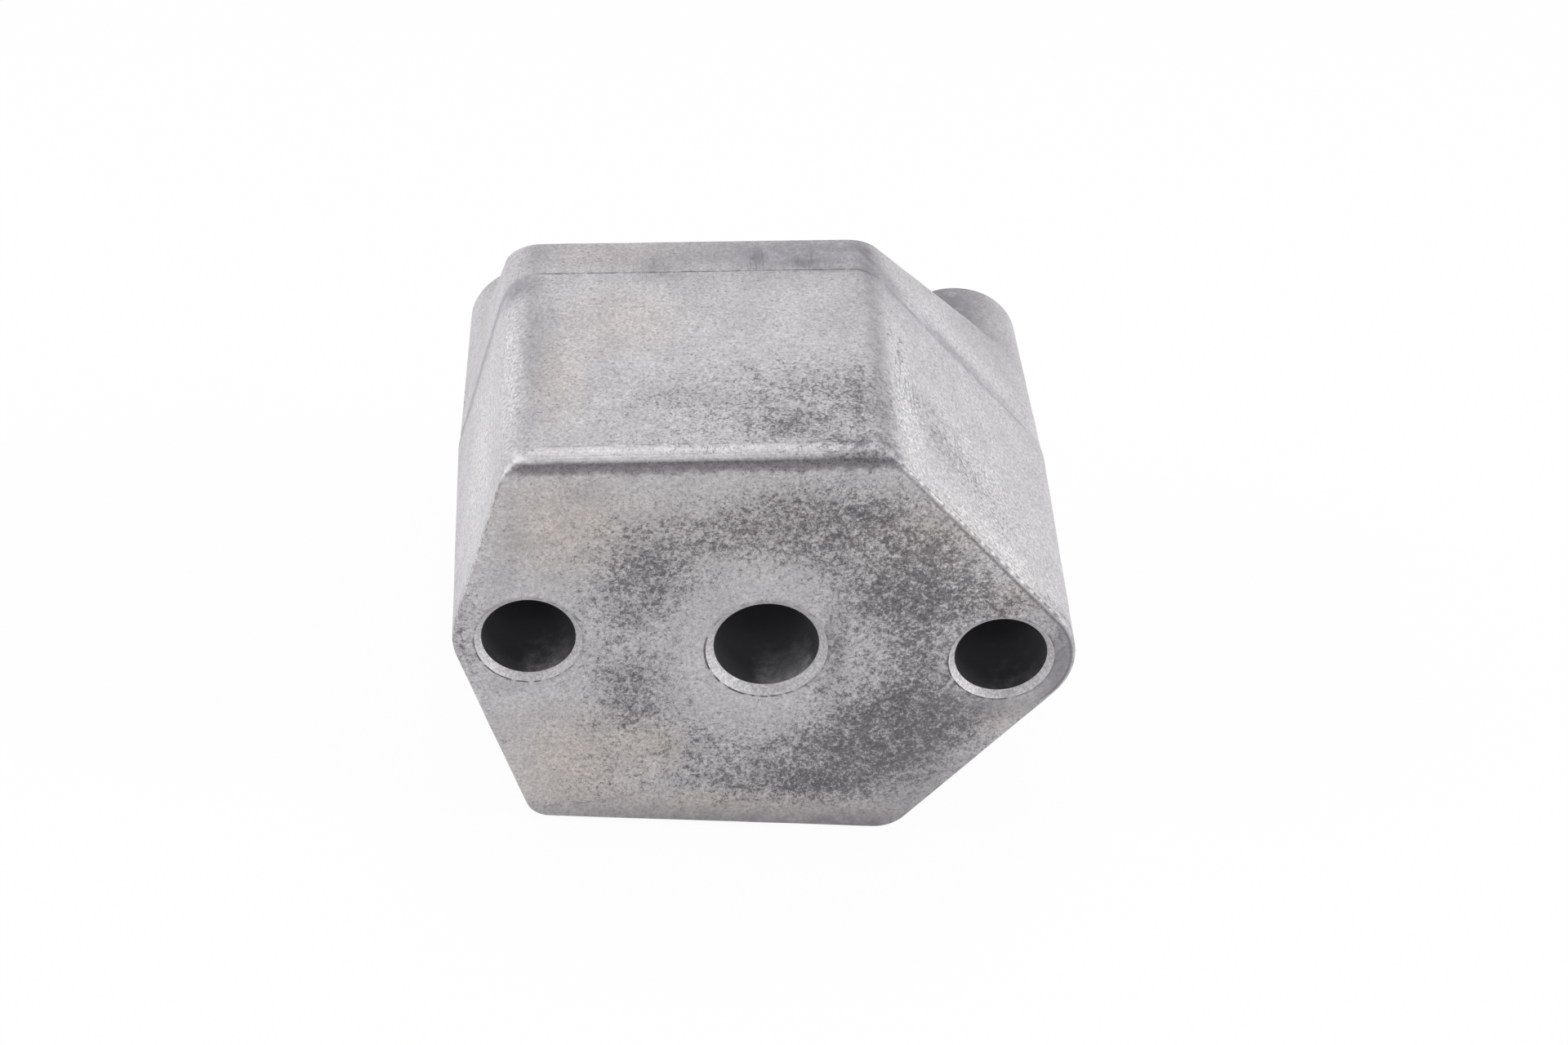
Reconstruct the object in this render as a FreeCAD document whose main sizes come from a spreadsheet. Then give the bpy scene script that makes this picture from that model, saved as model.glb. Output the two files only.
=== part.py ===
"""Three-bore aluminium block, cast in two half dies and then drilled and countersunk.

While it is modelled, the front face lies in the XZ plane at Y = 0, the row of three bores runs along X
through the origin, depth runs along +Y and +Z is up.  The body is then placed so that the origin is the
middle of its outline across and in depth, on the level of its lowest edge.
"""
import FreeCAD, Part
import Sketcher
import os
from collections import namedtuple
from math import cos, radians, sin

# Every size that can be chosen by itself: alias, value (millimetres or degrees), meaning.
DRIVING_SIZES = (
    ("bore_pitch", 20.0, "from the centre bore to each side bore"),
    ("centre_bore_diameter", 8.9, "large bore in the middle"),
    ("side_bore_diameter", 7.9, "bore through each boss"),
    ("countersink_angle", 90.0, "included angle of the front mouths of the bores"),
    ("centre_countersink_width", 0.7, "radial width of the front mouth of the centre bore"),
    ("side_countersink_width", 0.55, "radial width of the front mouth of a side bore"),
    ("boss_radius", 6.35, "radius of each side boss at the front face"),
    ("top_height", 20.5, "from the centre bore to the top facet, at the front face"),
    ("bottom_height", 20.3, "from the centre bore to the bottom facet, at the front face"),
    ("top_tilt", 4.5, "slope of the top facet against the row of bores"),
    ("upper_left_lean", 12.0, "lean of the upper left facet from upright"),
    ("lower_left_lean", 21.3, "lean of the lower left facet from upright"),
    ("upper_right_lean", 44.5, "direction the upper right facet faces, above level"),
    ("lower_right_lean", 36.4, "direction the lower right facet faces, below level"),
    ("top_left_radius", 3.6, "corner between the upper left and top facets, at the parting line"),
    ("top_right_radius", 3.6, "corner between the upper right and top facets, at the parting line"),
    ("bottom_left_radius", 2.6, "corner between the lower left and bottom facets, at the parting line"),
    ("bottom_right_radius", 3.8, "corner between the lower right and bottom facets, at the parting line"),
    ("front_depth", 26.0, "front face to parting line"),
    ("rim_depth", 5.0, "parting line to the rear rim of the top and bottom facets"),
    ("relief_rise", 6.0, "rear rim to the flat rear land, measured along the bores"),
    ("relief_slope", 23.5, "slope of the rear face from a rim up to the land"),
    ("boss_reach", 10.5, "rear land to the ends of the side bosses"),
    ("draft_angle", 1.0, "draft of both half dies away from the parting line"),
    ("parting_step", 0.08, "how much smaller the rear half die leaves the outline"),
    ("relief_blend_radius", 5.0, "blend between a slope and the land"),
    ("boss_root_radius", 2.5, "blend at the foot of each boss"),
    ("top_edge_radius", 1.7, "rounded front edge of the top facet"),
    ("front_edge_radius", 0.35, "rounded front edge of every other facet"),
    ("rear_break", 0.5, "chamfer on the boss ends and on the rear mouths of the bores"),
    ("cutter_margin", 4.0, "how far the body that shapes the rear stands out past the casting"),
)

# Expressions shared by several features, in terms of the named sizes.
FRONT_GROWTH = "Sizes.front_depth * tan(Sizes.draft_angle)"
RIM_DEPTH = "(Sizes.front_depth + Sizes.rim_depth)"
LAND_DEPTH = f"({RIM_DEPTH} + Sizes.relief_rise)"
OVERALL_DEPTH = f"({LAND_DEPTH} + Sizes.boss_reach)"
CUTTER_HALF_WIDTH = "(Sizes.bore_pitch + Sizes.boss_radius + 2 * Sizes.cutter_margin)"
CUTTER_HALF_HEIGHT = "(Sizes.top_height + Sizes.bore_pitch)"

# The outline seen from the front, anticlockwise: each facet, the side whose boss it touches (0 for none),
# the direction it faces in degrees and the radius of the corner after it.
Facet = namedtuple("Facet", "name side facing corner")
OUTLINE = (
    Facet("upper_right", 1, "Sizes.upper_right_lean", "top_right_radius"),
    Facet("top", 0, "90 + Sizes.top_tilt", "top_left_radius"),
    Facet("upper_left", -1, "180 - Sizes.upper_left_lean", "boss_radius"),
    Facet("lower_left", -1, "180 + Sizes.lower_left_lean", "bottom_left_radius"),
    Facet("bottom", 0, "270", "bottom_right_radius"),
    Facet("lower_right", 1, "360 - Sizes.lower_right_lean", "boss_radius"),
)
QUARTER_TURN, FULL_TURN = 90, 360
SAME_PLACE = 1e-4  # millimetres; points nearer than this coincide
UPRIGHT = FreeCAD.Vector(0, 0, 1)
START, END, CENTRE = 1, 2, 3  # points of a sketch element
ROW_AXIS, ORIGIN_POINT = -1, (-1, 1)  # horizontal axis and origin of a sketch


def value_of(expression):
    """Number that an expression in the named sizes comes to."""
    return float(sizes.evalExpression(expression))


def add_sketch(body, name, role, depth=None):
    """Sketch on one of a body's own planes, moved back by a depth expression if one is given."""
    plane = next(item for item in body.Origin.OriginFeatures if item.Role == role)
    sketch = body.newObject("Sketcher::SketchObject", name)
    sketch.AttachmentSupport = [(plane, "")]
    sketch.MapMode = "FlatFace"
    if depth:
        sketch.setExpression("AttachmentOffset.Base.z", f"-{depth}")
    return sketch


def constrain(sketch, name, expression, kind, *elements):
    """Add one dimension to a sketch, give it a name and tie it to the named sizes."""
    start_value = value_of(expression)
    if kind == "Angle":
        start_value = radians(start_value)
    index = sketch.addConstraint(Sketcher.Constraint(kind, *elements, start_value))
    sketch.renameConstraint(index, name)
    sketch.setExpression(f"Constraints.{name}", expression)


def add_polygon(sketch, corners):
    """Closed polygon whose corners are pairs of expressions measured from the sketch origin."""
    points = [FreeCAD.Vector(value_of(first), value_of(second), 0) for first, second in corners]
    for index, point in enumerate(points):
        following = points[(index + 1) % len(points)]
        sketch.addGeometry(Part.LineSegment(point, following), False)
    for index, (first, second) in enumerate(corners):
        following = (index + 1) % len(corners)
        sketch.addConstraint(Sketcher.Constraint("Coincident", index, END, following, START))
        constrain(sketch, f"across_{index}", first, "DistanceX", *ORIGIN_POINT, index, START)
        constrain(sketch, f"upward_{index}", second, "DistanceY", *ORIGIN_POINT, index, START)


def add_circles(sketch, sides, radius):
    """Circles centred on the row of bores: side -1 is the left bore, 0 the centre one, 1 the right one."""
    for index, side in enumerate(sides):
        distance = f"{side} * Sizes.bore_pitch"
        centre = FreeCAD.Vector(value_of(distance), 0, 0)
        sketch.addGeometry(Part.Circle(centre, UPRIGHT, value_of(radius)), False)
        sketch.addConstraint(Sketcher.Constraint("PointOnObject", index, CENTRE, ROW_AXIS))
        constrain(sketch, f"centre_{index}", distance, "DistanceX", *ORIGIN_POINT, index, CENTRE)
        constrain(sketch, f"radius_{index}", radius, "Radius", index)


def tangent_centre(before, after, radius):
    """Centre of the corner that touches two facets, each a direction and a distance from the origin."""
    (first_angle, first_reach), (second_angle, second_reach) = before, after
    spread = sin(radians(second_angle - first_angle))
    first, second = first_reach - radius, second_reach - radius
    across = (first * sin(radians(second_angle)) - second * sin(radians(first_angle))) / spread
    upward = (second * cos(radians(first_angle)) - first * cos(radians(second_angle))) / spread
    return FreeCAD.Vector(across, upward, 0)


def outline_arcs(reaches, radii):
    """The rounded corner or boss arc after each facet, in the order of the outline."""
    facings = [value_of(facet.facing) for facet in OUTLINE]
    arcs = []
    for index, facet in enumerate(OUTLINE):
        following = (index + 1) % len(OUTLINE)
        radius = value_of(radii[index])
        if facet.corner == "boss_radius":
            centre = FreeCAD.Vector(value_of(f"{facet.side} * Sizes.bore_pitch"), 0, 0)
        else:
            centre = tangent_centre((facings[index], value_of(reaches[index])),
                                    (facings[following], value_of(reaches[following])), radius)
        turn = (facings[following] - facings[index]) % FULL_TURN
        circle = Part.Circle(centre, UPRIGHT, radius)
        arcs.append(Part.ArcOfCircle(circle, radians(facings[index]), radians(facings[index] + turn)))
    return arcs


def add_outline(body, name, step):
    """Outline at the parting line, a step smaller all round: six facets, four corners, two boss arcs."""
    boss_radius = f"Sizes.boss_radius + {FRONT_GROWTH} - {step}"
    reaches, radii = [], []
    for facet in OUTLINE:
        touching_boss = f"{facet.side} * Sizes.bore_pitch * cos({facet.facing}) + {boss_radius}"
        stated_height = f"Sizes.{facet.name}_height + {FRONT_GROWTH} - {step}"
        reaches.append(touching_boss if facet.side else stated_height)
        radii.append(boss_radius if facet.corner == "boss_radius" else f"Sizes.{facet.corner} - {step}")
    arcs = outline_arcs(reaches, radii)
    sketch = add_sketch(body, name, "XZ_Plane", "Sizes.front_depth")
    # Element 2n is the line of facet n and element 2n + 1 the arc after it.
    for index, arc in enumerate(arcs):
        sketch.addGeometry(Part.LineSegment(arcs[index - 1].EndPoint, arc.StartPoint), False)
        sketch.addGeometry(arc, False)
    count = sketch.GeometryCount
    for index in range(count):
        sketch.addConstraint(Sketcher.Constraint("Tangent", index, END, (index + 1) % count, START))
    for index, facet in enumerate(OUTLINE):
        line, arc = 2 * index, 2 * index + 1
        quarter_on = f"{facet.facing} + {QUARTER_TURN}"
        if value_of(quarter_on) > FULL_TURN / 2:
            quarter_on = f"{quarter_on} - {FULL_TURN}"
        constrain(sketch, f"{facet.name}_run", quarter_on, "Angle", line)
        if not facet.side:
            constrain(sketch, f"{facet.name}_reach", reaches[index], "Distance", *ORIGIN_POINT, line)
        if facet.corner == "boss_radius":
            distance = f"{facet.side} * Sizes.bore_pitch"
            sketch.addConstraint(Sketcher.Constraint("PointOnObject", arc, CENTRE, ROW_AXIS))
            constrain(sketch, f"{facet.name}_boss", distance, "DistanceX", *ORIGIN_POINT, arc, CENTRE)
        constrain(sketch, f"{facet.name}_corner", radii[index], "Radius", arc)
    document.recompute()
    return sketch


def add_pad(body, name, sketch, length, **options):
    """Solid raised on a sketch by a length expression."""
    pad = body.newObject("PartDesign::Pad", name)
    pad.Profile = sketch
    pad.setExpression("Length", length)
    for option, setting in options.items():
        setattr(pad, option, setting)
    document.recompute()
    return pad


def add_half_die(name, step, length, backwards):
    """The part of the casting on one side of the parting line, narrowing away from it by the draft."""
    half = add_pad(casting, name, add_outline(casting, f"{name}Outline", step), length, Reversed=backwards)
    half.setExpression("TaperAngle", "-Sizes.draft_angle")
    document.recompute()
    return half


def add_wedge(body, name, turn, height):
    """Cutter for one rear slope, which rises from the rim of a facet to the land.

    Its sketch is turned about the direction of the bores, so that it stands square to its own facet.
    """
    rim_height = (f"(Sizes.{height} + {FRONT_GROWTH} - Sizes.parting_step"
                  " - Sizes.rim_depth * tan(Sizes.draft_angle))")
    foot_height = f"{rim_height} - Sizes.relief_rise / tan(Sizes.relief_slope)"
    crest_height = f"{rim_height} + Sizes.cutter_margin"
    crest_depth = f"{RIM_DEPTH} - Sizes.cutter_margin * tan(Sizes.relief_slope)"
    back_depth = f"{LAND_DEPTH} + Sizes.cutter_margin"
    sketch = add_sketch(body, f"{name}Profile", "YZ_Plane")
    backwards_turn = FreeCAD.Rotation(FreeCAD.Vector(-1, 0, 0), value_of(turn))
    sketch.AttachmentOffset = FreeCAD.Placement(FreeCAD.Vector(), backwards_turn)
    sketch.setExpression("AttachmentOffset.Rotation.Angle", turn)
    add_polygon(sketch, ((LAND_DEPTH, foot_height), (back_depth, foot_height),
                         (back_depth, crest_height), (crest_depth, crest_height)))
    document.recompute()
    return add_pad(body, name, sketch, f"2 * {CUTTER_HALF_WIDTH}", Midplane=True)


def add_edge_finish(body, kind, name, base, wanted, amount):
    """Fillet or chamfer on the edges of a feature that pass a test."""
    edges = [f"Edge{index}" for index, edge in enumerate(base.Shape.Edges, start=1) if wanted(edge)]
    finish = body.newObject(f"PartDesign::{kind}", name)
    finish.Base = (base, edges)
    finish.setExpression("Radius" if kind == "Fillet" else "Size", amount)
    document.recompute()
    return finish


def is_at_depth(edge, depth):
    """True if both ends of an edge lie at one depth behind the front face."""
    return all(abs(vertex.Y - depth) < SAME_PLACE for vertex in edge.Vertexes)


def is_land_border(edge):
    """True for the long edges where a slope meets the land."""
    between_rims = abs(edge.CenterOfMass.z) < value_of("Sizes.top_height - Sizes.relief_rise")
    spans_bores = edge.Length > value_of("Sizes.bore_pitch")
    return is_at_depth(edge, value_of(LAND_DEPTH)) and between_rims and spans_bores


def is_boss_foot(edge):
    """True for the curved edges round the foot of a boss, on the land and on the slopes."""
    middle, boss_radius = edge.CenterOfMass, value_of("Sizes.boss_radius")
    round_boss = abs(abs(middle.x) - value_of("Sizes.bore_pitch")) < boss_radius
    beside_row = abs(middle.z) < boss_radius
    up_to_land = all(vertex.Y < value_of(LAND_DEPTH) + SAME_PLACE for vertex in edge.Vertexes)
    return edge.Curve.TypeId != "Part::GeomLine" and round_boss and beside_row and up_to_land


def is_rear_mouth(edge):
    """True for the rims of the boss ends and for the rear mouth of every bore."""
    at_land = is_at_depth(edge, value_of(LAND_DEPTH))
    round_centre = edge.BoundBox.XMax < value_of("Sizes.centre_bore_diameter")
    in_middle = abs(edge.CenterOfMass.x) < value_of("Sizes.side_bore_diameter / 2")
    return is_at_depth(edge, value_of(OVERALL_DEPTH)) or (at_land and round_centre and in_middle)


def add_bores(name, sides, diameter, mouth_width):
    """Straight bores through the casting, countersunk in the front face."""
    sketch = add_sketch(casting, f"{name}Centres", "XZ_Plane")
    add_circles(sketch, sides, f"{diameter} / 2")
    document.recompute()
    hole = casting.newObject("PartDesign::Hole", name)
    hole.Profile = sketch
    hole.DepthType = "ThroughAll"
    hole.setExpression("Diameter", diameter)
    hole.HoleCutType = "Countersink"
    hole.HoleCutCustomValues = True
    hole.setExpression("HoleCutCountersinkAngle", "Sizes.countersink_angle")
    hole.setExpression("HoleCutDiameter", f"{diameter} + 2 * {mouth_width}")
    document.recompute()
    return hole


def front_edge_radii(shape):
    """Number, first radius and last radius of each outer edge of the front face.

    The top edge has its own larger radius, which runs out along the two corners beside it.
    """
    front = shape.BoundBox.YMin
    rim = [(index, edge) for index, edge in enumerate(shape.Edges, start=1)
           if is_at_depth(edge, front) and len(edge.Vertexes) == 2]
    lines = [edge for _, edge in rim if edge.Curve.TypeId == "Part::GeomLine"]
    top_edge = max(lines, key=lambda edge: edge.CenterOfMass.z)
    radii = []
    for index, edge in rim:
        ends = (edge.valueAt(edge.FirstParameter), edge.valueAt(edge.LastParameter))
        touches_top = [any(end.isEqual(vertex.Point, SAME_PLACE) for vertex in top_edge.Vertexes)
                       for end in ends]
        first, last = (value_of("Sizes.top_edge_radius" if touches else "Sizes.front_edge_radius")
                       for touches in touches_top)
        radii.append((index, first, last))
    return radii


document = FreeCAD.newDocument("ThreeBoreBlock")
sizes = document.addObject("Spreadsheet::Sheet", "Sizes")
for row, (alias, value, meaning) in enumerate(DRIVING_SIZES, start=1):
    sizes.set(f"A{row}", meaning)
    sizes.set(f"B{row}", str(value))
    sizes.setAlias(f"B{row}", alias)
document.recompute()

# The two halves of the casting meet at the parting line.
casting = document.addObject("PartDesign::Body", "Casting")
casting.setExpression("Placement.Base.y", f"-{OVERALL_DEPTH} / 2")
casting.setExpression("Placement.Base.z", f"Sizes.bottom_height + {FRONT_GROWTH}")
add_half_die("FrontHalf", "0", "Sizes.front_depth", False)
add_half_die("RearHalf", "Sizes.parting_step", f"{OVERALL_DEPTH} - Sizes.front_depth", True)

# The rear is cut away to two slopes and a flat land, and the two bosses are left standing.
relief = document.addObject("PartDesign::Body", "RearRelief")
slab_outline = add_sketch(relief, "SlabOutline", "XZ_Plane", LAND_DEPTH)
add_polygon(slab_outline, ((f"-{CUTTER_HALF_WIDTH}", f"-{CUTTER_HALF_HEIGHT}"),
                           (CUTTER_HALF_WIDTH, f"-{CUTTER_HALF_HEIGHT}"),
                           (CUTTER_HALF_WIDTH, CUTTER_HALF_HEIGHT),
                           (f"-{CUTTER_HALF_WIDTH}", CUTTER_HALF_HEIGHT)))
add_pad(relief, "Slab", slab_outline, "Sizes.boss_reach + 2 * Sizes.cutter_margin", Reversed=True)
add_wedge(relief, "UpperSlope", "Sizes.top_tilt", "top_height")
lower_slope = add_wedge(relief, "LowerSlope", "180", "bottom_height")
add_edge_finish(relief, "Fillet", "LandBlend", lower_slope, is_land_border, "Sizes.relief_blend_radius")
well_outline = add_sketch(relief, "BossWells", "XZ_Plane", "Sizes.front_depth")
add_circles(well_outline, (-1, 1), f"Sizes.boss_radius + {FRONT_GROWTH} - Sizes.parting_step")
document.recompute()
wells = relief.newObject("PartDesign::Pocket", "Wells")
wells.Profile = well_outline
wells.setExpression("Length", f"{OVERALL_DEPTH} - Sizes.front_depth + 3 * Sizes.cutter_margin")
wells.setExpression("TaperAngle", "-Sizes.draft_angle")
document.recompute()
add_edge_finish(relief, "Fillet", "BossRoots", wells, is_boss_foot, "Sizes.boss_root_radius")
rear_form = casting.newObject("PartDesign::Boolean", "RearForm")
rear_form.Type = "Cut"
rear_form.setObjects([relief])
casting.Tip = rear_form
document.recompute()

# The bores are drilled from the front and broken at the back.
add_bores("CentreBore", (0,), "Sizes.centre_bore_diameter", "Sizes.centre_countersink_width")
side_bores = add_bores("SideBores", (-1, 1), "Sizes.side_bore_diameter", "Sizes.side_countersink_width")
add_edge_finish(casting, "Chamfer", "RearBreak", side_bores, is_rear_mouth, "Sizes.rear_break")

block = document.addObject("Part::Fillet", "FrontEdges")
block.Label = "cast_block"
block.Base = casting
block.Edges = front_edge_radii(casting.Shape)
document.recompute()

for item in document.Objects:
    if {"Invalid", "Error"} & set(item.State):
        raise RuntimeError(f"{item.Name} did not rebuild")
    if hasattr(item, "Shape") and (item.Shape.isNull() or not item.Shape.isValid()):
        raise RuntimeError(f"{item.Name} has no sound shape")
if len(block.Shape.Solids) != 1:
    raise RuntimeError("the block is not one solid")
os.makedirs("parts", exist_ok=True)
block.Shape.exportStep(f"parts/{block.Label}.step")
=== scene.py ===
"""Looks of a bored, shot-blasted aluminium casting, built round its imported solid."""
import logging
import math
from dataclasses import dataclass
from enum import Enum
from typing import Any, Iterator, Optional, Union

import bmesh
import bpy
import numpy as np
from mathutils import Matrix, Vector


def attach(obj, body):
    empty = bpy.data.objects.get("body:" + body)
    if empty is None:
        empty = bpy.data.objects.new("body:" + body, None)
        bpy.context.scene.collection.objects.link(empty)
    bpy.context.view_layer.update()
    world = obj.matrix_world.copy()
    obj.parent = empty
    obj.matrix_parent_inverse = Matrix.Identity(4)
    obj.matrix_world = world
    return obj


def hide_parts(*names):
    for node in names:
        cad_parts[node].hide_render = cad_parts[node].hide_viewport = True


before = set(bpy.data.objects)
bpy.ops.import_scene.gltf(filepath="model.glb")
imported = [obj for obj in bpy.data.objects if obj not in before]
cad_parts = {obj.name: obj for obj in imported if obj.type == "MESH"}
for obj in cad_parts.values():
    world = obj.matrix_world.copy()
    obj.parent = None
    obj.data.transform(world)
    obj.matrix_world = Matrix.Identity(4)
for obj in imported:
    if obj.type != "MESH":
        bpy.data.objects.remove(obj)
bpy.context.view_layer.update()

Colour = tuple[float, float, float]
Triple = tuple[float, float, float]
Operand = Union["Shade", float]
# Where a smooth step starts and ends, and its results there if they aren't 0 and 1.
Step = tuple[float, ...]

MILLIMETRE = 0.001
MIDDLE = 0.5  # the level round which a noise swings
RAYS = ("Is Camera Ray", "Is Glossy Ray", "Is Transmission Ray")
logging.basicConfig(level=logging.INFO, format="%(message)s")
log = logging.getLogger("cast_block")


class Paint(Enum):
    """Stains and painted shade on the skin, each a number at every point of the mesh."""

    CLOUD = "cloud"    # dense dark speckle
    WARM = "warm"      # beige water stain
    SOOT_AND_SHADE = "soot_and_shade"      # smooth dark smudge, also painted shade
    CLEAN = "clean"    # pale rubbed metal
    SCORED = "scored"  # fine scratches along the depth


class Zone(Enum):
    """Parts of the mesh that are worn in their own way."""

    SKIN = "skin"
    RIM = "rim"


# ---- Node trees ----
class Shade:
    """One socket of a node tree, on which arithmetic adds Math nodes."""

    def __init__(self, graph: "Graph", socket: bpy.types.NodeSocket) -> None:
        """Wrap a socket of a graph."""
        self.graph = graph
        self.socket = socket

    def _math(self, operation: str, first: Operand, second: Operand = 0.0) -> "Shade":
        """Add one Math node."""
        return self.graph.node("ShaderNodeMath", {"operation": operation}, {0: first, 1: second})

    def __add__(self, other: Operand) -> "Shade":
        """Sum."""
        return self._math("ADD", self, other)

    def __radd__(self, other: float) -> "Shade":
        """Sum with a number on the left."""
        return self._math("ADD", other, self)

    def __sub__(self, other: Operand) -> "Shade":
        """Difference."""
        return self._math("SUBTRACT", self, other)

    def __rsub__(self, other: float) -> "Shade":
        """Difference with a number on the left."""
        return self._math("SUBTRACT", other, self)

    def __mul__(self, other: Operand) -> "Shade":
        """Product."""
        return self._math("MULTIPLY", self, other)

    def __rmul__(self, other: float) -> "Shade":
        """Product with a number on the left."""
        return self._math("MULTIPLY", other, self)

    def __truediv__(self, other: Operand) -> "Shade":
        """Quotient."""
        return self._math("DIVIDE", self, other)

    def __rtruediv__(self, other: float) -> "Shade":
        """Quotient with a number on the left."""
        return self._math("DIVIDE", other, self)

    def __abs__(self) -> "Shade":
        """Distance from zero."""
        return self._math("ABSOLUTE", self)

    def least(self, other: Operand) -> "Shade":
        """The smaller of two values."""
        return self._math("MINIMUM", self, other)

    def most(self, other: Operand) -> "Shade":
        """The larger of two values."""
        return self._math("MAXIMUM", self, other)

    def rise(self, low: float, high: float, start: Operand = 0.0, end: Operand = 1.0) -> "Shade":
        """Smooth step.

        Args:
            low: value at which the step starts.
            high: value at which it ends.
            start: result below the step.
            end: result above the step.

        Returns:
            The stepped value.
        """
        settings = {"interpolation_type": "SMOOTHSTEP"}
        inputs = {"Value": self, "From Min": low, "From Max": high, "To Min": start, "To Max": end}
        return self.graph.node("ShaderNodeMapRange", settings, inputs)


class Graph:
    """A node tree that expressions fill."""

    def __init__(self, tree: bpy.types.NodeTree) -> None:
        """Empty the tree."""
        self.tree = tree
        tree.nodes.clear()

    def node(self, kind: str, settings: Optional[dict[str, Any]] = None,
             inputs: Optional[dict[Any, Any]] = None, output: Union[int, str] = 0) -> Shade:
        """Add a node.

        Args:
            kind: Blender's name for the type of node.
            settings: properties set before its sockets.
            inputs: socket name or number to value or link.
            output: socket that is wanted.

        Returns:
            The wanted output.
        """
        made = self.tree.nodes.new(kind)
        for name, setting in (settings or {}).items():
            setattr(made, name, setting)
        for key, given in (inputs or {}).items():
            socket = made.inputs[key]
            if isinstance(given, Shade):
                self.tree.links.new(given.socket, socket)
            else:
                socket.default_value = given
        return Shade(self, made.outputs[output])

    def vector(self, operation: str, first: Any, second: Any = (0.0, 0.0, 0.0),
               scale: Operand = 1.0) -> Shade:
        """Add a Vector Math node.

        Args:
            operation: what it does.
            first: first vector, as a link or numbers.
            second: second vector, unless it only scales.
            scale: number that it scales by.

        Returns:
            The vector, or the number where the operation gives one.
        """
        output = 1 if operation in ("LENGTH", "DOT_PRODUCT", "DISTANCE") else 0
        inputs = {0: first, "Scale": scale} if operation == "SCALE" else {0: first, 1: second}
        return self.node("ShaderNodeVectorMath", {"operation": operation}, inputs, output)

    def split(self, vector: Shade) -> tuple[Shade, ...]:
        """The three numbers of a vector."""
        outputs = self.node("ShaderNodeSeparateXYZ", inputs={0: vector}).socket.node.outputs
        return tuple(Shade(self, output) for output in outputs)

    def mix(self, factor: Operand, first: Any, second: Any, blend: str = "MIX") -> Shade:
        """Mix two colours.

        Args:
            factor: how much of the second colour shows.
            first: first colour, as a link or numbers.
            second: second colour, as a link or numbers.
            blend: how they are joined.

        Returns:
            The mixed colour.
        """
        settings = {"data_type": "RGBA", "blend_type": blend, "clamp_factor": True}
        inputs = {0: factor, 6: _rgba(first), 7: _rgba(second)}
        return self.node("ShaderNodeMix", settings, inputs, 2)

    def finish(self, kind: str, surface: Shade) -> None:
        """Join the finished shading to an output node."""
        output = self.tree.nodes.new(kind)
        self.tree.links.new(surface.socket, output.inputs["Surface"])

    def painted(self, paint: Paint) -> Shade:
        """The strength of one painted stain."""
        return self.node("ShaderNodeAttribute", {"attribute_name": paint.value}, output="Fac")

    def rays(self) -> tuple[Shade, ...]:
        """Whether a ray comes from the camera, off something glossy, and through glass."""
        outputs = self.node("ShaderNodeLightPath").socket.node.outputs
        return tuple(Shade(self, outputs[kind]) for kind in RAYS)


def _rgba(colour: Any) -> Any:
    """A colour with its alpha, or a link as it is."""
    return colour if isinstance(colour, Shade) else (*colour, 1.0)


# ---- Sizes of the casting that the looks follow, in millimetres ----
@dataclass(frozen=True)
class Bore:
    """One bore: its axis along the row, its radius, its mouth's width, and how strong the painted
    light on its wall is.
    """

    across: float
    radius: float
    mouth: float
    painted_light: float


@dataclass(frozen=True)
class Casting:
    """Where things are on the casting."""

    bore_level: float = 20.754
    front: float = -23.75
    parting: float = 2.25
    top_front: float = 41.32
    top_slope: float = 0.0787
    bores: tuple[Bore, ...] = (
        Bore(-20.0, 3.95, 0.55, 0.55), Bore(0.0, 4.45, 0.7, 1.0), Bore(20.0, 3.95, 0.55, 0.15))


CASTING = Casting()


@dataclass(frozen=True)
class Stain:
    """A soft-edged stain: paint, centre and radii in millimetres, and strength."""

    paint: Paint
    centre: Triple
    radii: Triple
    strength: float

    def weight(self, points: np.ndarray) -> np.ndarray:
        """Strength of the stain at each point."""
        spread = (points - np.array(self.centre)) / np.array(self.radii)
        return self.strength * np.exp(-np.sum(spread * spread, axis=1))


# For each stain two places on a face, two radii and a strength.
StainTable = dict[Paint, tuple[tuple[float, ...], ...]]


@dataclass(frozen=True)
class Face:
    """A face that stains lie on: a point of it, its two directions, and a stain's radii there.

    For each axis a radius is picked from a stain's first, its second and its reach off the face.
    """

    origin: Triple
    first: Triple
    second: Triple
    picks: tuple[int, int, int]
    reach: float = 1.5

    def stains(self, table: StainTable) -> Iterator[Stain]:
        """Set out the stains of a table.

        Args:
            table: the rows of every paint.

        Returns:
            The stains in the table's order.
        """
        for paint, rows in table.items():
            for one, two, *radii, strength in rows:
                steps = zip(self.origin, self.first, self.second)
                centre = tuple(start + one * ahead + two * aside for start, ahead, aside in steps)
                sizes = (*radii, self.reach)
                yield Stain(paint, centre, tuple(sizes[pick] for pick in self.picks), strength)


BACKWARDS = (0.0, 1.0, 0.0)
FRONT = Face((0.0, CASTING.front, 0.0), (1.0, 0.0, 0.0), (0.0, 0.0, 1.0), (0, 2, 1))
# The top climbs to the right, and the facets beside it are measured up along them from the bosses.
TOP = Face((0.0, 0.0, 41.8), (1.0, 0.0, math.tan(math.radians(4.5))), BACKWARDS, (0, 1, 2))
RIGHT_FACET = Face((24.7, 0.0, 25.4), (-0.701, 0.0, 0.713), BACKWARDS, (0, 1, 0))
LEFT_FACET = Face((-26.5, 0.0, 22.1), (0.208, 0.0, 0.978), BACKWARDS, (2, 1, 0))

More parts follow.
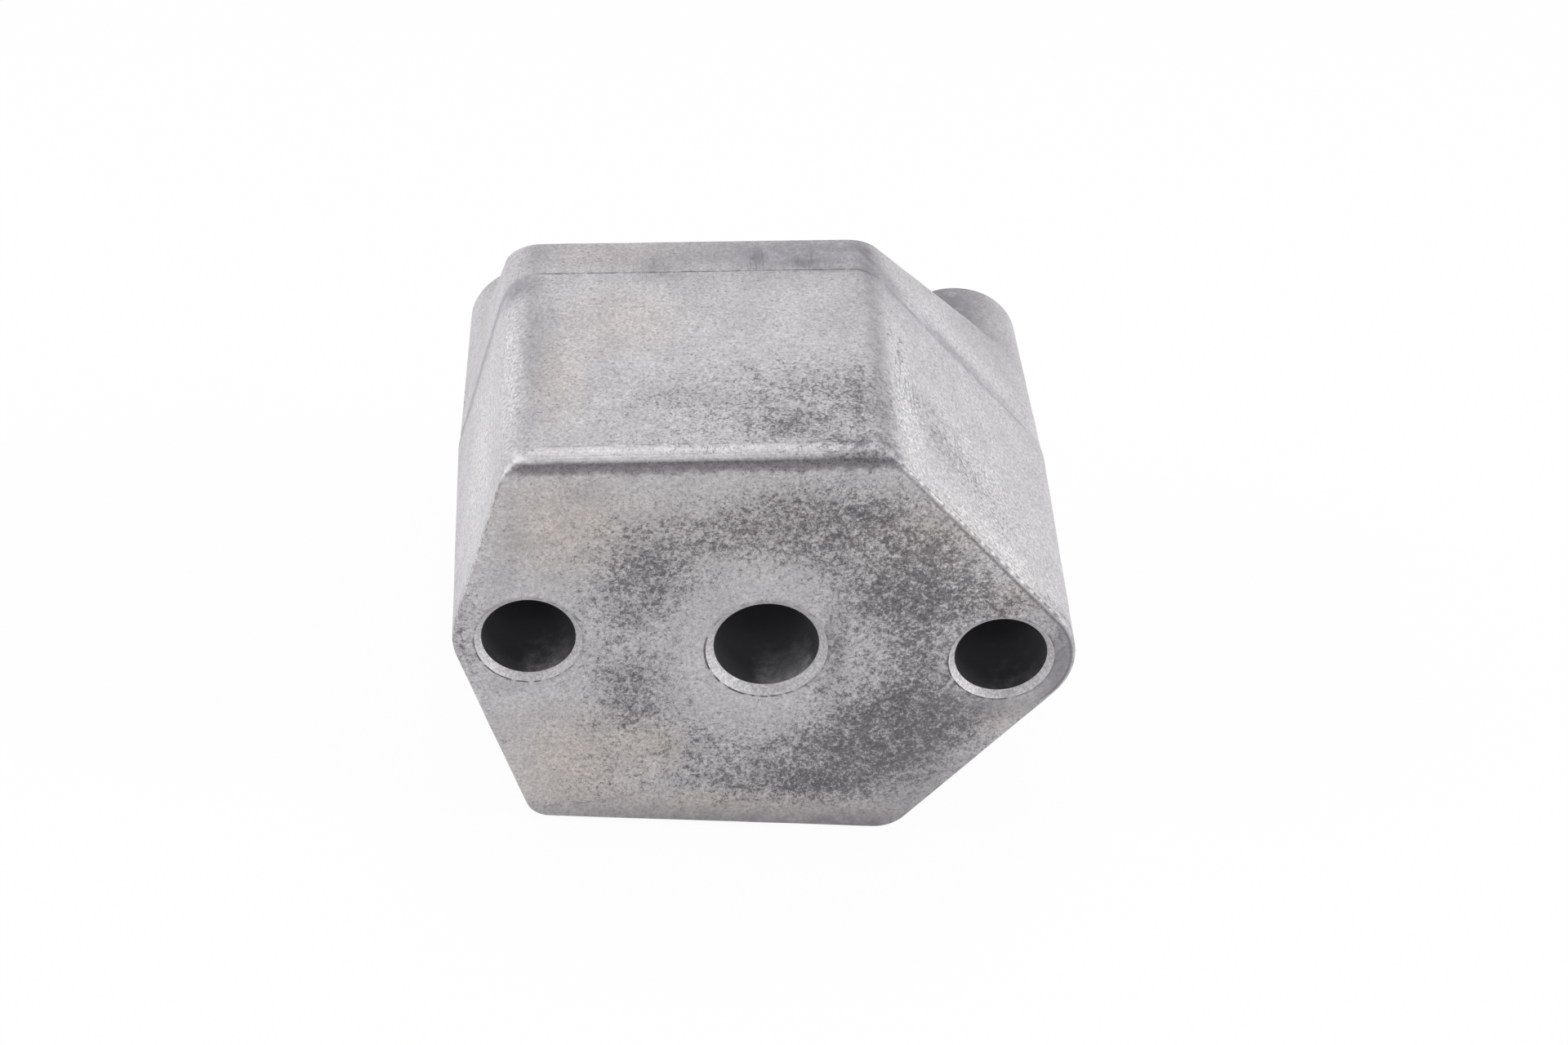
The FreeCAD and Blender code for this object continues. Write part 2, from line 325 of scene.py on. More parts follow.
FRONT_STAINS: StainTable = {
    Paint.CLOUD: (
        (-10.6, 27.8, 4.3, 3.4, 0.84), (-10.5, 31.8, 5.4, 2.9, 0.45), (-4.5, 33.2, 4.1, 3.1, 0.5),
        (0.8, 35.2, 4.1, 3.4, 0.78), (6.6, 33.6, 4.3, 3.8, 0.72), (12.8, 28.0, 5.0, 4.1, 0.95),
        (8.2, 27.2, 3.1, 3.1, 0.56), (12.4, 22.6, 2.9, 3.1, 0.67), (15.8, 15.8, 4.1, 3.6, 0.74),
        (11.4, 15.6, 3.6, 3.6, 0.67), (13.6, 11.8, 4.1, 3.1, 0.67), (8.0, 8.8, 5.5, 4.1, 0.92),
        (5.6, 5.6, 5.5, 2.2, 0.56), (3.2, 10.4, 3.6, 1.9, 0.28), (-2.6, 7.4, 5.3, 3.6, 0.62),
        (-11.0, 16.6, 3.6, 2.9, 0.67), (-10.6, 13.0, 4.1, 2.2, 0.56), (-13.0, 21.0, 5.4, 3.6, 0.28),
        (7.0, 20.5, 3.6, 4.8, 0.34), (25.0, 24.6, 1.7, 4.1, 0.67), (-25.4, 20.5, 1.4, 5.4, 0.5),
        (20.5, 27.0, 4.8, 1.7, 0.45), (-12.0, 8.0, 4.8, 3.6, 0.22), (8.5, 36.2, 4.0, 2.0, 0.45),
        (12.6, 32.8, 3.2, 2.6, 0.6), (1.0, 31.2, 4.0, 1.4, 0.3), (16.0, 29.0, 3.0, 3.0, 0.22),
        (-12.0, 24.0, 4.0, 2.0, 0.3), (15.0, 20.0, 3.5, 3.0, 0.35), (7.4, 13.4, 3.0, 2.2, 0.45),
        (18.4, 12.4, 3.0, 3.2, 0.3), (13.4, 8.0, 4.0, 3.4, 0.45), (-5.6, 10.6, 3.0, 1.8, 0.25),
        (0.0, 4.6, 10.0, 1.8, 0.25), (4.8, 16.6, 1.3, 1.0, 0.45), (5.9, 21.0, 0.9, 3.4, 0.45),
        (19.5, 26.0, 2.0, 1.2, 0.4), (10.5, 13.5, 2.0, 1.6, 0.25), (16.8, 13.2, 2.0, 1.8, 0.3),
        (-13.5, 4.6, 2.0, 1.2, 0.24), (4.2, 7.2, 1.6, 1.4, 0.3), (15.2, 25.4, 2.6, 1.6, 0.3),
        (3.6, 30.0, 2.6, 1.8, 0.26),
    ),
    Paint.WARM: (
        (-15.5, 9.5, 6.5, 4.0, 1.0), (-8.5, 9.0, 3.0, 2.4, 0.7), (-18.0, 33.0, 5.0, 5.0, 1.0),
        (20.5, 13.8, 2.6, 2.0, 0.8), (-3.0, 34.0, 14.0, 6.0, 0.35), (0.0, 2.4, 16.0, 1.8, 1.0),
        (-16.0, 4.5, 5.0, 3.0, 0.8), (13.5, 33.8, 5.0, 4.6, 0.55), (20.0, 27.0, 3.4, 2.2, 0.65),
    ),
    Paint.SOOT_AND_SHADE: (
        # Soot rows: the first two darken the face along the bottom and towards the lower right; the
        # third is painted shade along the right border by the boss.
        (0.0, 0.4, 24.0, 2.2, 0.8), (16.5, 6.5, 5.0, 6.0, 0.36), (25.2, 20.0, 1.8, 6.5, 0.85),
        (20.4, 15.4, 4.0, 1.6, 0.6), (-21.0, 31.5, 1.5, 1.5, 0.22), (-16.1, 36.2, 1.9, 0.9, 0.16),
        (9.6, 38.2, 2.6, 1.8, 0.24), (13.2, 34.8, 2.4, 2.2, 0.24), (16.6, 31.6, 2.4, 2.2, 0.26),
        (20.0, 27.8, 2.6, 1.8, 0.18), (5.6, 22.8, 0.8, 4.4, 0.34), (22.6, 26.2, 1.6, 1.1, 0.26),
        (-21.0, 15.6, 3.0, 1.0, 0.18), (-22.8, 27.0, 1.4, 2.4, 0.15), (12.0, 4.2, 4.5, 1.6, 0.16),
        (10.0, 1.0, 5.0, 1.2, 0.3), (4.5, 29.4, 1.6, 2.4, 0.12),
    ),
    Paint.CLEAN: (
        (-19.6, 33.3, 1.5, 1.3, 0.3),
    ),
}
# Top facet: across, depth, half width, half depth, strength.
TOP_STAINS: StainTable = {
    Paint.WARM: (
        (-13.5, -5.0, 5.5, 5.0, 0.62), (-18.6, -14.0, 2.2, 5.5, 0.75), (-14.0, 5.6, 7.0, 2.4, 0.55),
    ),
    Paint.CLOUD: (
        (4.6, -12.8, 4.0, 2.6, 0.12), (1.0, -19.4, 2.8, 1.3, 0.55), (1.5, -15.0, 8.0, 3.6, 0.34),
        (6.4, -17.5, 2.4, 5.5, 0.34), (4.0, -16.0, 1.2, 1.2, 0.25), (6.0, -14.0, 1.1, 1.1, 0.25),
        (6.0, -18.2, 1.2, 1.2, 0.25), (-9.5, -16.0, 2.4, 1.2, 0.3), (-5.0, -19.0, 14.0, 6.0, 0.36),
        (6.0, -22.4, 3.6, 1.2, 0.75), (0.5, -20.4, 3.4, 1.5, 0.45),
    ),
    Paint.SOOT_AND_SHADE: (
        # Of the soot rows, the long one at the right border and the broad one behind the parting
        # are painted shade.
        (7.4, -18.6, 2.0, 2.8, 0.24), (1.0, -22.2, 2.2, 0.8, 0.2), (-15.0, 6.0, 5.0, 2.0, 0.08),
        (6.4, -22.7, 3.4, 1.0, 0.46), (1.0, 0.8, 10.0, 1.6, 0.14), (-10.0, 2.8, 5.0, 2.0, 0.2),
        (-20.7, -6.0, 1.0, 14.0, 0.36), (8.3, -9.0, 1.0, 14.0, 0.6), (5.5, -3.5, 2.6, 6.0, 0.12),
        (-1.7, 4.2, 0.8, 1.5, 0.5), (-10.6, 3.6, 1.4, 1.4, 0.25), (2.4, 3.5, 2.2, 0.8, 0.6),
        (2.0, 5.6, 20.0, 2.8, 0.66), (5.5, 2.4, 4.0, 0.5, 0.35), (8.6, 2.0, 1.2, 2.8, 0.18),
        (-19.2, -10.0, 1.0, 9.0, 0.24), (-20.0, 6.2, 1.6, 1.2, 0.22), (8.6, 6.2, 1.6, 1.2, 0.22),
    ),
    Paint.SCORED: (
        (-1.6, 4.0, 1.6, 2.2, 1.0), (2.8, 3.6, 1.8, 1.8, 0.8), (-10.6, 2.8, 1.6, 2.0, 0.8),
    ),
}
# Upper right facet: up along it from the boss, depth, half length, half depth, strength.
RIGHT_STAINS: StainTable = {
    Paint.CLOUD: (
        (8.0, -17.0, 4.0, 3.2, 0.25), (14.0, -15.0, 4.5, 3.2, 0.4), (17.5, -12.0, 2.5, 2.5, 0.35),
    ),
    Paint.SOOT_AND_SHADE: (
        (5.0, -11.0, 2.4, 5.5, 0.14), (9.5, -8.0, 2.0, 3.0, 0.22), (8.0, 3.0, 5.0, 1.0, 0.4),
        (13.0, 3.0, 3.0, 1.0, 0.4), (20.5, 3.0, 2.0, 2.6, 0.5),
    ),
    Paint.SCORED: (
        (20.0, -10.5, 1.8, 3.5, 0.9), (12.0, -14.0, 5.0, 5.0, 0.35),
    ),
    Paint.CLEAN: (
        (20.5, -14.0, 2.2, 9.0, 0.9), (9.0, -13.0, 8.0, 10.0, 0.72), (10.0, 5.0, 12.0, 3.0, 0.45),
        (10.0, -22.6, 11.0, 2.2, 0.75),
    ),
}
# Upper left facet: up along it from the boss, depth, half length, half depth, strength.
LEFT_STAINS: StainTable = {
    Paint.CLEAN: (
        (9.0, -12.0, 12.0, 12.0, 0.8), (17.8, -10.0, 1.8, 11.0, 0.8),
    ),
    Paint.SOOT_AND_SHADE: (
        (8.0, 2.8, 8.0, 1.1, 0.45), (18.0, 0.8, 1.8, 1.4, 0.75),
    ),
}

STAINS: tuple[Stain, ...] = (
    *FRONT.stains(FRONT_STAINS),
    *TOP.stains(TOP_STAINS),
    *RIGHT_FACET.stains(RIGHT_STAINS),
    *LEFT_FACET.stains(LEFT_STAINS),
    # Painted shadow on the tops of the bosses, close to the slopes they leave, where the body
    # blocks the light.
    Stain(Paint.SOOT_AND_SHADE, (18.0, 18.5, 26.8), (5.0, 8.0, 3.5), 1.0),
    Stain(Paint.SOOT_AND_SHADE, (-17.5, 18.5, 26.8), (4.5, 7.0, 3.5), 0.7),
)


@dataclass(frozen=True)
class Stroke:
    """A straight thin mark: both ends, width in millimetres, and strength."""

    start: Triple
    end: Triple
    width: float
    strength: float


STROKES: tuple[Stroke, ...] = (
    # Creases low on the left of the front face.
    Stroke((-18.0, -23.75, 1.7), (-12.5, -23.75, 2.7), 0.17, 0.62),
    Stroke((-12.5, -23.75, 2.7), (-8.5, -23.75, 4.4), 0.15, 0.48),
    # Flow line high on its left.
    Stroke((-14.6, -23.75, 34.2), (-13.2, -23.75, 36.3), 0.12, 0.30),
    Stroke((-13.2, -23.75, 36.3), (-10.6, -23.75, 37.8), 0.12, 0.30),
    # Marks by the right end of the top front edge.
    Stroke((3.4, -22.3, 41.5), (5.2, -22.9, 41.5), 0.10, 0.55),
    Stroke((5.0, -22.2, 41.6), (7.2, -22.7, 41.8), 0.10, 0.55),
    # Scores on the upper right facet, close to the top edge.
    Stroke((9.4, -3.5, 41.0), (9.6, -6.0, 40.8), 0.14, 0.85),
    Stroke((10.3, -4.5, 40.1), (10.5, -8.5, 39.9), 0.13, 0.90),
    Stroke((10.9, -5.5, 39.6), (11.0, -7.5, 39.5), 0.12, 0.80),
    Stroke((9.9, -8.0, 40.5), (10.0, -10.5, 40.4), 0.12, 0.80),
    # Nick on the upper left facet.
    Stroke((-23.8, -16.8, 35.3), (-23.5, -16.3, 36.3), 0.14, 0.70),
)


# ---- The finish ----
@dataclass(frozen=True)
class Palette:
    """Colours that several marks share."""

    # Dark colour of smudges and marks, also used for painted shade.
    smudge_and_shade: Colour = (0.24, 0.23, 0.25)
    # Dark colour of the burr round the mouths and of the parting line, also used for the painted
    # shadow beside the mouths.
    burr_and_shade: Colour = (0.12, 0.11, 0.115)
    # Colour of the painted highlights on rounded edges and on the mouths.
    glint: Colour = (0.965, 0.945, 0.97)


PALETTE = Palette()


@dataclass(frozen=True)
class Noise:
    """A soft noise from 0 to 1: its lumps to the millimetre, detail and roughness."""

    per_mm: float
    detail: float
    roughness: float = 0.5

    def at(self, graph: Graph, place: Shade) -> Shade:
        """The noise at a place in millimetres."""
        sizes = {"Scale": self.per_mm, "Detail": self.detail, "Roughness": self.roughness}
        return graph.node("ShaderNodeTexNoise", inputs={"Vector": place, **sizes})


class SkinPoint:
    """A point of the skin in the node tree: its place in millimetres and the noises there."""

    def __init__(self, graph: Graph) -> None:
        """Read the place, and make the noises that several marks share.

        Args:
            graph: the tree to fill.
        """
        coordinates = graph.node("ShaderNodeTexCoord", output="Object")
        self.graph = graph
        self.place = graph.vector("SCALE", coordinates, scale=1.0 / MILLIMETRE)
        self.across, self.depth, self.height = graph.split(self.place)
        self.fine = Noise(3.6, 4.0, 0.85).at(graph, self.place)
        self.lumps = Noise(1.1, 3.0, 0.6).at(graph, self.place)
        self.drift = Noise(0.3, 4.0, 0.6).at(graph, self.place)
        self.clean = graph.painted(Paint.CLEAN)

    def behind_front(self, low: float, high: float, start: float = 0.0, end: float = 1.0) -> Shade:
        """Smooth step over the depth behind the front face."""
        return self.depth.rise(CASTING.front + low, CASTING.front + high, start, end)

    def from_axis(self, bore: Bore) -> Shade:
        """The flat vector to the point from the axis of a bore."""
        sides = {0: self.across - bore.across, 1: self.height - CASTING.bore_level}
        return self.graph.node("ShaderNodeCombineXYZ", inputs=sides)


@dataclass(frozen=True)
class Clouds:
    """Ragged clouds of dark specks. Levels and amounts are shares of a full cloud."""

    tint: Colour = (0.38, 0.37, 0.385)
    ragged_lumps: float = 2.4
    ragged_drift: float = 1.2
    border: float = 0.2
    most_ragged: float = 0.6
    thinnest: float = -0.2
    densest: float = 1.25
    crowding: float = 0.15
    crowding_lumps: float = 0.15
    crowding_drift: float = 0.20
    strays: float = 0.13
    speck_edge: Step = (-0.09, 0.07)

    def cover(self, at: SkinPoint) -> Shade:
        """How dense the cloud is.

        Args:
            at: the point of the skin.

        Returns:
            The density, ragged at the cloud's border.
        """
        painted = at.graph.painted(Paint.CLOUD)
        ragged = (at.lumps - MIDDLE) * self.ragged_lumps + (at.drift - MIDDLE) * self.ragged_drift
        cover = painted + ragged * (painted + self.border).least(self.most_ragged)
        return cover.most(self.thinnest).least(self.densest)

    def add(self, at: SkinPoint, tone: Shade, cover: Shade) -> Shade:
        """Speckle a colour.

        Args:
            at: the point of the skin.
            tone: colour so far.
            cover: how dense the cloud is.

        Returns:
            The speckled colour.
        """
        crowding = self.crowding + (at.lumps - MIDDLE) * self.crowding_lumps
        crowding = cover * (crowding - (at.drift - MIDDLE) * self.crowding_drift) - self.strays
        specks = (crowding - (at.fine - MIDDLE)).rise(*self.speck_edge)
        return at.graph.mix(specks, tone, self.tint, "MULTIPLY")


@dataclass(frozen=True)
class PartingLine:
    """The line between the two halves of the mould: thin on top, a jagged ribbon on the sides.

    Places are in millimetres, behind the parting for the line and in front of it for the ribbon.
    """

    ribbon_tint: Colour = (0.36, 0.36, 0.42)
    top_middle: float = -6.0
    line_side: Step = (14.0, 16.0)
    line_place: float = 0.08
    line_edge: Step = (0.2, 0.06)
    line_gaps: Step = (0.4, 0.6, 0.25, 0.85)
    line_loss: float = 0.8
    ribbon_side: Step = (14.5, 16.5)
    ribbon_place: float = 0.22
    ribbon_edge: Step = (0.48, 0.22)
    ribbon_gaps: Step = (0.36, 0.54)
    ribbon_faint: float = 0.12
    ribbon_full: float = 0.60
    jaggedness: float = 1.8
    right_end: Step = (24.5, 19.0, 0.3, 1.0)
    left_side: Step = (-18.0, -20.0)
    left_height: Step = (21.0, 27.0, 0.25, 1.0)
    left_place: float = 0.3
    left_widening: float = 0.45
    left_faint: float = 0.18
    left_full: float = 0.08

    def add(self, at: SkinPoint, tone: Shade) -> Shade:
        """Draw the line and then the ribbon over a colour."""
        tone = at.graph.mix(self._line(at), tone, PALETTE.burr_and_shade)
        return at.graph.mix(self._ribbon(at), tone, self.ribbon_tint)

    def _line(self, at: SkinPoint) -> Shade:
        """The thin broken line, fading on the sides.

        Args:
            at: the point of the skin.

        Returns:
            Its strength.
        """
        side = abs(at.across - self.top_middle).rise(*self.line_side)
        gap = abs(at.depth - (CASTING.parting + self.line_place))
        line = gap.rise(*self.line_edge) * at.lumps.rise(*self.line_gaps)
        return line * (1.0 - self.line_loss * side)

    def _ribbon(self, at: SkinPoint) -> Shade:
        """The ribbon, broadest high on the left.

        Args:
            at: the point of the skin.

        Returns:
            Its strength.
        """
        side = abs(at.across - self.top_middle).rise(*self.ribbon_side)
        left = at.across.rise(*self.left_side) * at.height.rise(*self.left_height)
        place = at.depth - (CASTING.parting - self.ribbon_place) + self.left_place * left
        gap = abs(place + (at.fine - MIDDLE) * self.jaggedness) * (1.0 - self.left_widening * left)
        faint = self.ribbon_faint + self.left_faint * left
        full = self.ribbon_full + self.left_full * left
        strength = at.lumps.rise(*self.ribbon_gaps, faint, full) * at.across.rise(*self.right_end)
        return gap.rise(*self.ribbon_edge) * side * strength


@dataclass(frozen=True)
class TopEdge:
    """The rounding along the top of the front face: a painted highlight over painted shade, ragged
    below.

    Levels are heights in millimetres over the line of the edge, and depths are behind the front.
    """

    shadow_tint: Colour = (0.605, 0.588, 0.615)
    raggedness: float = 1.6
    shadow_foot: Step = (-2.0, -1.4)
    shadow_head: Step = (-0.55, -0.85)
    shadow_right: Step = (9.6, 9.0)
    shadow_left: Step = (-22.8, -21.0)
    shadow_depth: Step = (1.35, 0.95)
    gleam_foot: Step = (-0.85, -0.60)
    gleam_head: Step = (-0.25, -0.50)
    gleam_right: Step = (4.5, -3.0)
    gleam_left: Step = (-22.4, -21.4)
    gleam_depth: Step = (2.15, 1.75)
    gleam_chips: Step = (0.3, 0.6, 0.3, 0.52)

    def add(self, at: SkinPoint, tone: Shade) -> Shade:
        """Put both bands over a colour.

        Args:
            at: the point of the skin.
            tone: colour so far.

        Returns:
            The colour with the bands in it.
        """
        level = at.height - at.across * CASTING.top_slope - CASTING.top_front
        tone = at.graph.mix(self._shadow(at, level), tone, self.shadow_tint, "MULTIPLY")
        return at.graph.mix(self._gleam(at, level), tone, PALETTE.glint)

    def _shadow(self, at: SkinPoint, level: Shade) -> Shade:
        """The painted band of shade.

        Args:
            at: the point of the skin.
            level: its height on the rounding.

        Returns:
            Its strength.
        """
        ragged = level + (at.lumps - MIDDLE) * self.raggedness
        band = ragged.rise(*self.shadow_foot) * level.rise(*self.shadow_head)
        ends = at.across.rise(*self.shadow_right) * at.across.rise(*self.shadow_left)
        return band * at.behind_front(*self.shadow_depth) * ends

    def _gleam(self, at: SkinPoint, level: Shade) -> Shade:
        """The painted highlight band, broad on the left and chipped away on the right.

        Args:
            at: the point of the skin.
            level: its height on the rounding.

        Returns:
            Its strength.
        """
        band = level.rise(*self.gleam_foot) * level.rise(*self.gleam_head)
        ends = at.across.rise(*self.gleam_right) * at.across.rise(*self.gleam_left)
        return band * ends * at.behind_front(*self.gleam_depth) * at.lumps.rise(*self.gleam_chips)


@dataclass(frozen=True)
class EdgeLineAndHighlight:
    """The edge of the front face along the upper right facet and round the right boss, with a
    painted highlight.

    The face's outline there is a straight run, given by its outward direction and its distance from
    the origin, and an arc round the bore. Places are outside that outline, in millimetres.
    """

    outward: tuple[float, float] = (0.713, 0.701)
    distance: float = 34.81
    arc_radius: float = 6.006
    arc_top: Step = (24.9, 25.1)
    run_start: Step = (8.6, 9.4)
    arc_start: Step = (20.0, 21.0)
    arc_foot: Step = (15.5, 17.5)
    line_place: float = -0.08
    line_waver: float = 0.2
    line_edge: Step = (0.20, 0.07)
    line_growth: Step = (9.0, 18.0, 0.5, 1.0)
    line_depth: Step = (0.55, 0.35)
    line_gaps: Step = (0.62, 0.50, 0.35, 0.9)
    gleam_place: float = 0.20
    gleam_edge: Step = (0.22, 0.10)
    gleam_depth: Step = (0.85, 0.55)
    gleam_gaps: Step = (0.60, 0.44, 0.08, 0.42)

    def add(self, at: SkinPoint, tone: Shade) -> Shade:
        """Draw a broken dark line on the face, and a painted highlight on the rounding outside it.

        Args:
            at: the point of the skin.
            tone: colour so far.

        Returns:
            The colour with both in it.
        """
        on_run = at.height.rise(*self.arc_top)
        past_run = at.across * self.outward[0] + at.height * self.outward[1] - self.distance
        past_arc = at.graph.vector("LENGTH", at.from_axis(CASTING.bores[2])) - self.arc_radius
        past = past_run * on_run + past_arc * (1.0 - on_run)
        on_arc = at.across.rise(*self.arc_start) * at.height.rise(*self.arc_foot) * (1.0 - on_run)
        reach = at.across.rise(*self.run_start) * on_run + on_arc
        waver = (at.fine - MIDDLE) * self.line_waver
        line = abs(past - self.line_place + waver).rise(*self.line_edge) * reach
        line = line * at.across.rise(*self.line_growth) * at.behind_front(*self.line_depth)
        gleam = abs(past - self.gleam_place).rise(*self.gleam_edge) * reach
        gleam = gleam * at.fine.rise(*self.gleam_gaps) * at.behind_front(*self.gleam_depth)
        tone = at.graph.mix(line * at.fine.rise(*self.line_gaps), tone, PALETTE.smudge_and_shade)
        return at.graph.mix(gleam, tone, PALETTE.glint)


@dataclass(frozen=True)
class Marks:
    """Fine scratches where the skin is scored, and the single strokes."""

    scratch_noise: Noise = Noise(6.0, 2.0, 0.6)
    scratch_stretch: Triple = (1.0, 0.05, 1.0)
    scratch_edge: Step = (0.55, 0.62)
    scratch_strength: float = 0.9
    bend: float = 2.0
    bend_towards: Triple = (1.0, 0.6, -1.0)
    core: float = 0.3

    def add(self, at: SkinPoint, tone: Shade) -> Shade:
        """Draw all of them over a colour."""
        return at.graph.mix(self._scratches(at).most(self._strokes(at)), tone, PALETTE.smudge_and_shade)

    def _scratches(self, at: SkinPoint) -> Shade:
        """The scratches, which run along the depth.

        Args:
            at: the point of the skin.

        Returns:
            Their strength.
        """
        stretched = at.graph.vector("MULTIPLY", at.place, self.scratch_stretch)
        scratches = self.scratch_noise.at(at.graph, stretched).rise(*self.scratch_edge)
        return scratches * at.graph.painted(Paint.SCORED) * self.scratch_strength

    def _strokes(self, at: SkinPoint) -> Shade:
        """The strokes, each a wavering line.

        Args:
            at: the point of the skin.

        Returns:
            Strength of the darkest.
        """
        darkest: Optional[Shade] = None
        graph = at.graph
        waver = graph.vector("SCALE", self.bend_towards, scale=(at.lumps - MIDDLE) * self.bend)
        bent = graph.vector("ADD", at.place, waver)
        for stroke in STROKES:
            span = Vector(stroke.end) - Vector(stroke.start)
            reach = graph.vector("DOT_PRODUCT", graph.vector("SUBTRACT", bent, stroke.start), span)
            along = (reach / span.length_squared).most(0.0).least(1.0)
            reached = graph.vector("SCALE", tuple(span), scale=along)
            nearest = graph.vector("ADD", reached, stroke.start)
            gap = graph.vector("DISTANCE", bent, nearest)
            mark = gap.rise(stroke.width, self.core * stroke.width) * stroke.strength
            darkest = mark if darkest is None else darkest.most(mark)
        return darkest


@dataclass(frozen=True)
class MachinedBores:
    """The bores: bright mottled mouths, the burr round them, and walls painted dark as shade with a
    painted lit patch.

    Reaches are shares of a mouth's width, from the wall of the bore outwards. Depths are in
    millimetres behind the front face.
    """

    lip_tint: Colour = (0.725, 0.71, 0.73)
    # Walls are painted dark as shade, with a lighter patch painted as light on their lower right.
    painted_wall_shade: Colour = (0.18, 0.175, 0.195)
    painted_light_tint: Colour = (0.44, 0.43, 0.46)
    near: Step = (8.0, 6.0)
    towards_glint: Triple = (-0.6, -0.8, 0.0)
    glint_spread: Step = (-0.1, 0.9)
    glint_share: float = 0.8
    towards_painted_light: Triple = (0.5, -0.87, 0.0)
    painted_light_spread: Step = (0.7, 1.0)
    front_depth: Step = (1.0, 0.9)
    lip_edge: Step = (1.02, 0.98)
    lip_mottle: Step = (0.36, 0.62, 1.08, 0.69)
    burr_reach: float = 1.10
    burr_edge: Step = (0.22, 0.08)
    burr_gaps: Step = (0.42, 0.54)
    burr_least: float = 0.45
    shade_reach: Step = (1.8, 1.1)
    shade_strength: float = 0.22
    wall_edge: Step = (0.03, 0.0)
    wall_depth: Step = (0.5, 7.0, 0.38, 1.35)
    painted_light_depth: Step = (7.5, 2.0)
    painted_light_lumps: float = 0.9
    painted_light_edge: Step = (0.02, 0.95)
    lit_mottle_fine: float = 0.6
    lit_mottle_edge: Step = (0.38, 0.64, 0.45, 1.0)

    def add(self, at: SkinPoint, tone: Shade) -> tuple[Shade, Shade, Shade]:
        """Colour the bores.

        Args:
            at: the point of the skin.
            tone: colour of the skin round them.

        Returns:
            The colour with the bores in it, and whether the point is on a mouth and inside a bore.
        """
        graph = at.graph
        reach, glint, painted_light = self._measure(at)
        in_front = at.behind_front(*self.front_depth)
        lip = reach.rise(*self.lip_edge) * in_front
        # Painted highlight on the lower left of each mouth.
        lip_tone = graph.mix(glint * self.glint_share, self.lip_tint, PALETTE.glint)
        lip_tone = graph.vector("SCALE", lip_tone, scale=at.fine.rise(*self.lip_mottle))
        tone = graph.mix(lip, tone, lip_tone)
        burr_and_shade = abs(reach - self.burr_reach).rise(*self.burr_edge) * at.lumps.rise(*self.burr_gaps)
        burr_and_shade = burr_and_shade * (self.burr_least + (1.0 - self.burr_least) * glint)
        # Painted shadow ring outside the mouths, away from the highlight.
        shade = reach.rise(*self.shade_reach) * (1.0 - glint) * self.shade_strength
        tone = graph.mix(burr_and_shade.most(shade) * in_front * (1.0 - lip), tone, PALETTE.burr_and_shade)
        # Inside a bore the colour is painted shade and painted light.
        inside = reach.rise(*self.wall_edge)
        return graph.mix(inside, tone, self._wall(at, painted_light)), lip, inside

    def _measure(self, at: SkinPoint) -> tuple[Shade, Shade, Shade]:
        """Where the point is against the nearest bore.

        Args:
            at: the point of the skin.

        Returns:
            Its reach, and how far it lies towards the glint of the mouth and over the painted lit
            patch.
        """
        reaches: list[Shade] = []
        glints: list[Shade] = []
        painted_lights: list[Shade] = []
        for bore in CASTING.bores:
            flat = at.from_axis(bore)
            reach = (at.graph.vector("LENGTH", flat) - bore.radius) / bore.mouth
            heading = at.graph.vector("NORMALIZE", flat)
            glint = at.graph.vector("DOT_PRODUCT", heading, self.towards_glint)
            painted_light = at.graph.vector("DOT_PRODUCT", heading, self.towards_painted_light)
            reaches.append(reach)
            glints.append(glint.rise(*self.glint_spread) * reach.rise(*self.near))
            painted_lights.append(painted_light.rise(*self.painted_light_spread) * bore.painted_light)
        left, centre, right = reaches
        return (left.least(centre).least(right), glints[0].most(glints[1]).most(glints[2]),
                painted_lights[0].most(painted_lights[1]).most(painted_lights[2]))

    def _wall(self, at: SkinPoint, painted_light: Shade) -> Shade:
        """Paint shade on the walls, darkest near the front, and a mottled painted patch of light.

        Args:
            at: the point of the skin.
            painted_light: how far it lies over the painted lit patch.

        Returns:
            The wall's colour.
        """
        patch = at.behind_front(*self.painted_light_depth) * painted_light
        lit_mottle = at.fine * self.lit_mottle_fine + at.lumps * (1.0 - self.lit_mottle_fine)
        lit = (patch + (at.lumps - MIDDLE) * self.painted_light_lumps).rise(*self.painted_light_edge)
        shaded_wall = at.graph.vector("SCALE", self.painted_wall_shade, scale=at.behind_front(*self.wall_depth))
        return at.graph.mix(lit * lit_mottle.rise(*self.lit_mottle_edge), shaded_wall, self.painted_light_tint)


